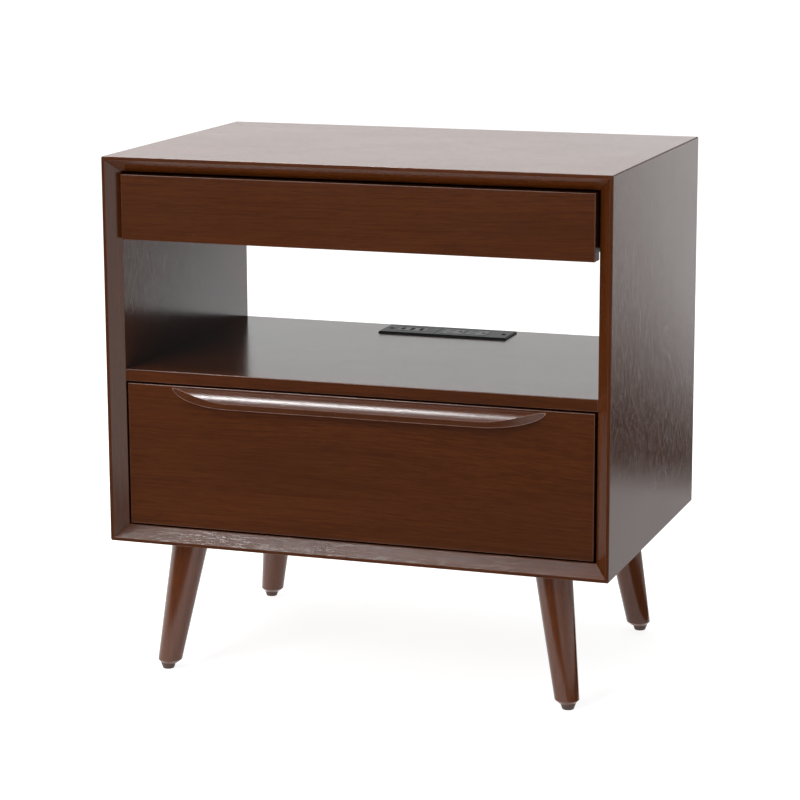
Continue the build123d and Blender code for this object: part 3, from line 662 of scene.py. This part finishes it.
class NIGHTSTAND_OT_slides(bpy.types.Operator):
    """Finish the telescopic slides and fit their rows of balls, held in cages"""
    bl_idname = "nightstand.slides"
    bl_label = "Drawer slides"

    def execute(self, context):
        look = context.scene.nightstand_metal
        black = coated_metal("Black slide coating", look.slide, roughness=0.36)
        polished = bare_metal("Polished balls", look.ball, roughness=0.12)
        cage_metal = bare_metal("Cage steel", look.zinc, roughness=0.34)
        for drawer in DRAWERS:
            for side in SIDES:
                members = [f"{drawer}_slide_{member}_{side}" for member in ("outer", "middle", "inner")]
                finish_nodes(members, black)
                balls, cages = self.ball_rows(look, *(middle_of(member) for member in members))
                body = f"{drawer}_slide_middle"
                piece(f"{drawer}_slide_balls_{side}", balls, polished, body)
                piece(f"{drawer}_slide_cages_{side}", cages, cage_metal, body)
        return {"FINISHED"}

    def ball_rows(self, look, outer, middle, inner):
        """Rows of balls between the members, and the cages along them.

        The outer and middle members share the rear rows, the middle and inner ones the front rows. A ball is
        a half circle turned about Z."""
        turns = np.linspace(0, pi, 7)[1:-1]
        ball = spun(look.ball_radius * np.sin(turns), -look.ball_radius * np.cos(turns), 10)
        run = look.ball_pitch * (look.ball_count - 1)
        steps = np.linspace(-run / 2, run / 2, look.ball_count)
        (outer_mid, outer_low, outer_high), (mid, low, high), (inner_mid, inner_low, inner_high) = (
            outer, middle, inner)
        quarter = (high[1] - low[1]) / 4
        inward = 1.0 if inner_mid[0] > outer_mid[0] else -1.0
        back = (outer_low if inward > 0 else outer_high)[0]
        half_outer = (outer_high[2] - outer_low[2]) / 2
        half_inner = (inner_high[2] - inner_low[2]) / 2
        rows = ((half_outer - look.outer_race, mid[1] + quarter, (outer_mid[0] + mid[0]) / 2),
                (half_inner + look.inner_race, mid[1] - quarter, mid[0]))
        balls = [(x, y + step, mid[2] + turn * drop) for drop, y, x in rows for turn in (1, -1)
                 for step in steps]
        strips = ((OUTER_CAGE, look.outer_race), (INNER_CAGE, INNER_CAGE_DROP))
        cages = [cage(back, inward, reach, half_outer - drop, row[1], mid[2], run)
                 for (reach, drop), row in zip(strips, rows)]
        return copies(ball, balls), merged(cages)


class NIGHTSTAND_OT_hardware(bpy.types.Operator):
    """Finish the screws, bolts and leg plates"""
    bl_idname = "nightstand.hardware"
    bl_label = "Screws and plates"

    def execute(self, context):
        look = context.scene.nightstand_metal
        finish_nodes(("slide_case_screws", "drawer_pull_screws", "leg_bolts", "leg_plate_screws",
                      "top_drawer_front_screws", "top_drawer_slide_screws",
                      "lower_drawer_front_screws", "lower_drawer_slide_screws"),
                     bare_metal("Bright zinc", look.zinc, roughness=0.28))
        finish_nodes(("leg_plates",), coated_metal("Powder coating", look.plate, roughness=0.48, peel=2.0))
        return {"FINISHED"}


class NIGHTSTAND_OT_outlet(bpy.types.Operator):
    """Finish the outlet and fit its module rims, port shells and contacts"""
    bl_idname = "nightstand.outlet"
    bl_label = "Outlet"

    def execute(self, context):
        look = context.scene.nightstand_outlet
        metal = context.scene.nightstand_metal
        modules = ("outlet_charging_ports", "outlet_receptacle_left", "outlet_receptacle_right")
        finish_nodes(("outlet_face_plate", "outlet_housing"),
                     plastic("Dark grey plastic", look.plate, roughness=0.42))
        finish_nodes((*modules, "outlet_power_inlet"),
                     plastic("Black plastic", look.module, roughness=0.30, grain=2200.0, depth=0.00001))
        finish_nodes(("outlet_screws",), coated_metal("Blackened screws", look.plate, roughness=0.32))
        # The rims are coloured pale grey as a painted highlight on the dark plastic
        piece("outlet_module_rims", merged([self.rim(look, *middle_of(name)) for name in modules]),
              plastic("Rim plastic painted as a highlight", look.rim, roughness=0.4), "case")
        mid, _, high = middle_of("outlet_charging_ports")
        ports = [(mid[0] + step * look.port_pitch, mid[1], high[2]) for step in (-1, 0, 1)]
        piece("outlet_port_shells", copies(self.shell(look), ports),
              bare_metal("Nickel shells", metal.zinc, roughness=0.25), "case")
        steps = (np.arange(4) - 1.5) * CONTACT_PITCH
        spots = [(x, y + step, z) for x, y, z in ports for step in steps]
        piece("outlet_port_contacts", copies(self.contact(look), spots),
              bare_metal("Gilt contacts", metal.gold, roughness=0.22), "case")
        return {"FINISHED"}

    def rim(self, look, mid, low, high):
        """A half-round line carried round a module's rounded outline, on its upper face."""
        turn = np.linspace(0, pi, 9)
        profile = np.stack([look.rim_width / 2 * np.cos(turn), look.rim_height * np.sin(turn)], -1)
        half = (high - low) / 2
        points, outward = rounded_rectangle(half[0], half[1], look.corner)
        upward = np.tile((0.0, 0.0, 1.0), (len(points), 1))
        return carried(profile, points + (mid[0], mid[1], high[2]), outward, upward, closed=True)

    def shell(self, look):
        """The upright section of a thin wall carried round the inside of a port's mouth."""
        half_width, half_length = (side / 2 - SHELL_CLEARANCE for side in look.port_size)
        points, outward = rounded_rectangle(half_width, half_length, SHELL_CORNER, 3)
        wall, foot = look.shell_wall, -look.port_depth
        section = np.array([(0, SHELL_TOP), (-wall, SHELL_TOP), (-wall, foot), (0, foot)])
        upward = np.tile((0.0, 0.0, 1.0), (len(points), 1))
        return carried(section, points, outward, upward, closed=True)

    def contact(self, look):
        """A thin rectangle in X and Y carried down the tongue of a port."""
        under, face = CONTACT_FACES
        half = CONTACT_WIDTH / 2
        section = np.array([(under, -half), (face, -half), (face, half), (under, half)])
        ends = np.array([(look.tongue_face, 0.0, z) for z in CONTACT_RUN])
        across, upward = np.tile((1.0, 0.0, 0.0), (2, 1)), np.tile((0.0, 1.0, 0.0), (2, 1))
        return carried(section, ends, across, upward, closed=False)


def soft_light(name, place, size, power, target):
    """A rectangular soft light that looks at a target."""
    lamp = bpy.data.lights.new(name, "AREA")
    lamp.shape = "RECTANGLE"
    lamp.size, lamp.size_y = size
    lamp.energy = power
    made = bpy.data.objects.new(name, lamp)
    bpy.context.scene.collection.objects.link(made)
    aim = Vector(target) - Vector(place)
    made.matrix_world = Matrix.Translation(place) @ aim.to_track_quat("-Z", "Y").to_matrix().to_4x4()


def flat_sheet(name, x, y, z, grey, glow, hidden=False, slant=0.0):
    """A level sheet with a plain grey material that may give off light, seen only in reflections if hidden.

    Its sides lean to the right by the slant for each metre of Y."""
    points = [(x[i] + slant * y[j], y[j], z) for i, j in ((0, 0), (1, 0), (1, 1), (0, 1))]
    mesh = bpy.data.meshes.new(name)
    mesh.from_pydata(points, [], [(0, 1, 2, 3)])
    material, tree, shader, at = new_material(name)
    along = add(tree, "ShaderNodeSeparateXYZ", {0: at}).outputs["Y"]
    given_off = grey_of(tree, glow(tree, along) if callable(glow) else glow)
    tree.links.new(given_off, shader.inputs["Emission Color"])
    shader.inputs["Emission Strength"].default_value = 1.0
    shader.inputs["Base Color"].default_value = (grey, grey, grey, 1.0)
    shader.inputs["Roughness"].default_value = 0.9
    shader.inputs["Specular IOR Level"].default_value = 0.1
    mesh.materials.append(material)
    made = bpy.data.objects.new(name, mesh)
    bpy.context.scene.collection.objects.link(made)
    if hidden:
        made.visible_camera = made.visible_diffuse = made.visible_shadow = False


class NIGHTSTAND_OT_stage(bpy.types.Operator):
    """Set the pale floor, the soft lights and the camera"""
    bl_idname = "nightstand.stage"
    bl_label = "Stage"

    def execute(self, context):
        scene = context.scene
        look = scene.nightstand_stage
        reach = look.floor_reach
        flat_sheet("studio_floor", (-reach, reach), (-reach, reach), 0.0, look.floor_grey, look.floor_glow)
        sheets = (("front_flag", FRONT_FLAG, 0.0, 0.0), ("under_flag", UNDER_FLAG, 0.0, 0.0),
                  ("side_sheet", SIDE_SHEET, self.side_glow(look), SIDE_SLANT))
        for name, (x, y), glow, slant in sheets:
            flat_sheet(name, x, y, SHEET_HEIGHT, SHEET_GREY, glow, hidden=True, slant=slant)
        self.set_room(scene, look)
        soft_light("overhead_box", (-1.2, -0.2, 2.9), (1.1, 0.9), look.box_power, (-1.2, -0.2, 0.0))
        soft_light("front_box", (-1.6, -3.4, 2.4), (1.8, 1.8), look.fill_power, (0.0, 0.0, 0.35))
        lens = bpy.data.cameras.new("camera")
        lens.sensor_width = 36.0
        lens.lens = look.lens * 1000
        lens.clip_end = 200.0
        camera = bpy.data.objects.new("camera", lens)
        scene.collection.objects.link(camera)
        camera.matrix_world = (Matrix.Translation(look.place) @ Matrix.Rotation(look.turn, 4, "Z")
                               @ Matrix.Rotation(pi / 2 - look.tilt, 4, "X")
                               @ Matrix.Rotation(-look.roll, 4, "Z"))
        scene.camera = camera
        scene.view_settings.view_transform = "Standard"
        return {"FINISHED"}

    def side_glow(self, look):
        """Pale near the nightstand, dark about a metre and a half behind it, pale again further off."""
        def glow(tree, along):
            near = spread(tree, along, 0.85, 1.05, look.near_level, 0.0)
            far = spread(tree, along, 1.35, 2.6, 0.0, look.far_level)
            return worked(tree, "ADD", near, far)
        return glow

    def set_room(self, scene, look):
        """Room light that is brightest behind, softer above and dim in front. The backdrop looks pale."""
        world = bpy.data.worlds.new("room")
        world.use_nodes = True
        scene.world = world
        tree = world.node_tree
        tree.nodes.clear()
        direction = add(tree, "ShaderNodeTexCoord").outputs["Generated"]
        parts = add(tree, "ShaderNodeSeparateXYZ", {0: direction}).outputs
        behind = spread(tree, parts["Y"], -0.25, 0.45, look.front_level, look.back_level)
        behind = worked(tree, "MULTIPLY", behind, spread(tree, parts["X"], -0.1, 0.25, 1.0, 0.15))
        above = spread(tree, parts["Z"], 0.35, 0.85)
        around = worked(tree, "MULTIPLY", behind, worked(tree, "SUBTRACT", 1.0, above))
        room = worked(tree, "ADD", around, worked(tree, "MULTIPLY", above, look.top_level))
        backdrop = add(tree, "ShaderNodeLightPath").outputs["Is Camera Ray"]
        glow = add(tree, "ShaderNodeBackground", {"Color": (1.0, 1.0, 1.0, 1.0),
                                                  "Strength": worked(tree, "MAXIMUM", room, backdrop)})
        output = tree.nodes.new("ShaderNodeOutputWorld")
        tree.links.new(glow.outputs[0], output.inputs["Surface"])


PROPERTY_GROUPS = {"nightstand_wood": NightstandWood, "nightstand_metal": NightstandMetal,
                   "nightstand_outlet": NightstandOutlet, "nightstand_stage": NightstandStage}
OPERATORS = (NIGHTSTAND_OT_textures, NIGHTSTAND_OT_case, NIGHTSTAND_OT_fronts, NIGHTSTAND_OT_legs,
             NIGHTSTAND_OT_boxes, NIGHTSTAND_OT_slides, NIGHTSTAND_OT_hardware, NIGHTSTAND_OT_outlet,
             NIGHTSTAND_OT_stage)


class NIGHTSTAND_PT_panel(bpy.types.Panel):
    """The pieces of the nightstand and their settings"""
    bl_idname = "NIGHTSTAND_PT_panel"
    bl_label = "Nightstand"
    bl_space_type = "VIEW_3D"
    bl_region_type = "UI"
    bl_category = "Nightstand"

    def draw(self, context):
        for operator in OPERATORS:
            self.layout.operator(operator.bl_idname)
        for name, group in PROPERTY_GROUPS.items():
            box = self.layout.box()
            for setting in group.__annotations__:
                box.prop(getattr(context.scene, name), setting)


def register():
    for name, group in PROPERTY_GROUPS.items():
        bpy.utils.register_class(group)
        setattr(bpy.types.Scene, name, PointerProperty(type=group))
    for kind in (*OPERATORS, NIGHTSTAND_PT_panel):
        bpy.utils.register_class(kind)


def unregister():
    for kind in reversed((*OPERATORS, NIGHTSTAND_PT_panel)):
        bpy.utils.unregister_class(kind)
    for name, group in PROPERTY_GROUPS.items():
        delattr(bpy.types.Scene, name)
        bpy.utils.unregister_class(group)


def main():
    register()
    for operator in OPERATORS:
        family, name = operator.bl_idname.split(".")
        getattr(getattr(bpy.ops, family), name)()


if __name__ == "__main__":
    main()
